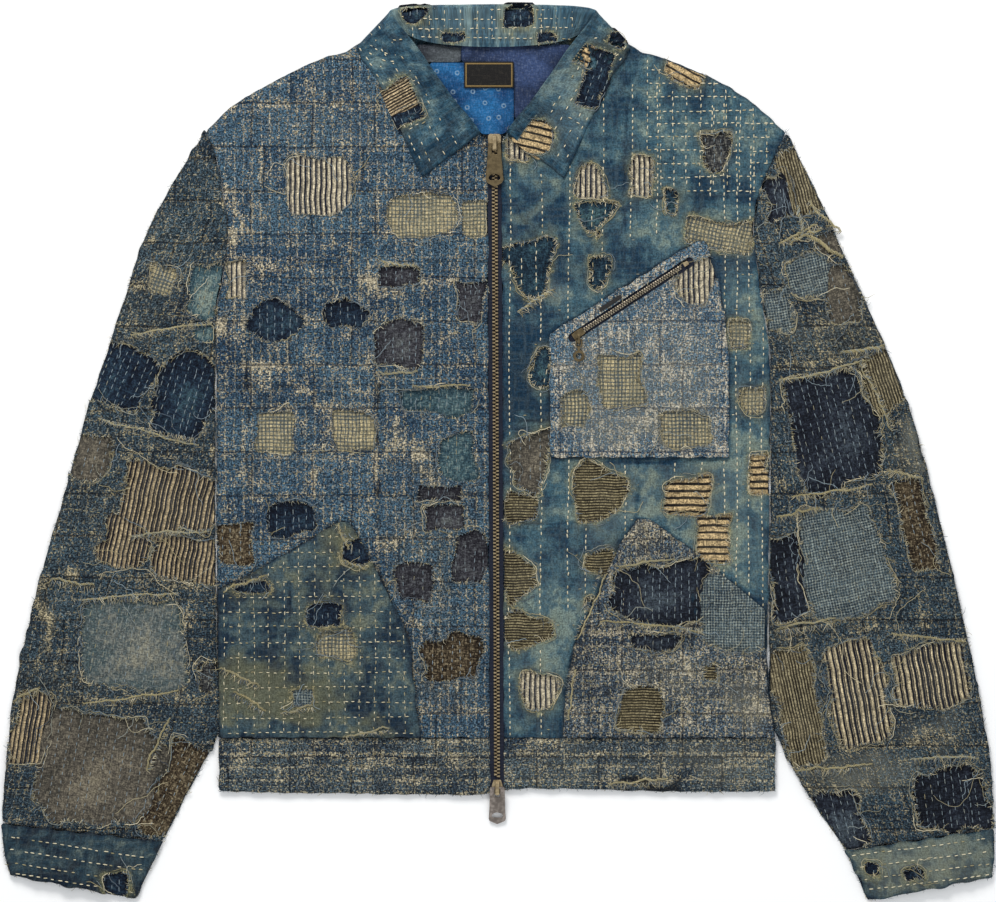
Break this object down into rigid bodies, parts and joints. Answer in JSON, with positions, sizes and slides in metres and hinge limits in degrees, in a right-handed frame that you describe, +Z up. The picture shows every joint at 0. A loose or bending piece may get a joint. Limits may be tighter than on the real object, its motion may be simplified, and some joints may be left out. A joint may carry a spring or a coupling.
{
  "type": "patched boro jacket",
  "caption": "Zipped denim jacket, patched and darned in boro style, laid flat on its back, with a turned-down collar, three pockets and hinged zip pulls.",
  "frame": {"origin": "middle of the jacket's outline, on the surface that the back lies on", "axes": "+X to the wearer's left sleeve, +Y from hem to collar, +Z up from the back to the fronts"},
  "size_m": [0.9332, 0.8441, 0.0158],
  "materials": {
    "mottled": "matte, napped weave",
    "indigo": "matte denim",
    "navy": "matte",
    "ticking": "matte",
    "check": "matte",
    "charcoal": "matte",
    "brown": "matte",
    "khaki": "matte",
    "teal": "matte",
    "grey": "matte",
    "lining_blue": "matte",
    "lining_violet": "matte",
    "lining_grey": "matte",
    "label": "matte",
    "tape": "matte",
    "brass": "satin, worn",
    "bronze": "satin, antique",
    "nickel": "satin, worn"
  },
  "bodies": {
    "jacket": {"back": "mottled", "chest_pocket": "mottled", "chest_tab": "label", "chest_zip_slider": "bronze", "chest_zip_stop": "brass", "chest_zip_tape": "tape", "chest_zip_teeth": "brass", "collar": "indigo", "cuff_left": "indigo", "cuff_right": "indigo", "front_left": "indigo", "front_right": "mottled", "hem_band_back": "mottled", "hem_band_left": "mottled", "hem_band_right": "mottled", "lining_blue": "lining_blue", "lining_grey": "lining_grey", "lining_violet": "lining_violet", "neck_label": "label", "patch_brown_front": "brown", "patch_brown_sleeve_left": "brown", "patch_charcoal_chest": "charcoal", "patch_check_chest": "check", "patch_check_sleeve_left": "check", "patch_cream_stripe": "ticking", "patch_grey_sleeve_right": "grey", "patch_khaki_front": "khaki", "patch_khaki_sleeve_left": "khaki", "patch_navy_chest": "navy", "patch_navy_sleeve_left": "navy", "patch_navy_sleeve_right": "navy", "patch_teal_sleeve_right": "teal", "patch_ticking_chest": "ticking", "patch_ticking_sleeve_right": "ticking", "patch_torn_indigo": "navy", "pocket_left": "mottled", "pocket_right": "indigo", "sleeve_left": "mottled", "sleeve_right": "mottled", "zip_slider_bottom": "nickel", "zip_slider_top": "bronze", "zip_tape_left": "tape", "zip_tape_right": "tape", "zip_teeth": "brass"},
    "pull_top": {"zip_pull_top": "bronze"},
    "pull_bottom": {"zip_pull_bottom": "nickel"},
    "pull_chest": {"chest_zip_pull": "bronze"}
  },
  "joints": [
    {"name": "top_pull_hinge", "type": "hinge", "parent": "jacket", "child": "pull_top", "pos_m": [-0.0033, 0.29, 0.0077], "axis": [-1, 0, 0], "range_deg": [0, 150]},
    {"name": "bottom_pull_hinge", "type": "hinge", "parent": "jacket", "child": "pull_bottom", "pos_m": [-0.0007, -0.3156, 0.0077], "axis": [-1, 0, 0], "range_deg": [0, 150]},
    {"name": "chest_pull_hinge", "type": "hinge", "parent": "jacket", "child": "pull_chest", "pos_m": [0.076, 0.105, 0.0109], "axis": [-1, 0, 0], "range_deg": [0, 130]}
  ]
}
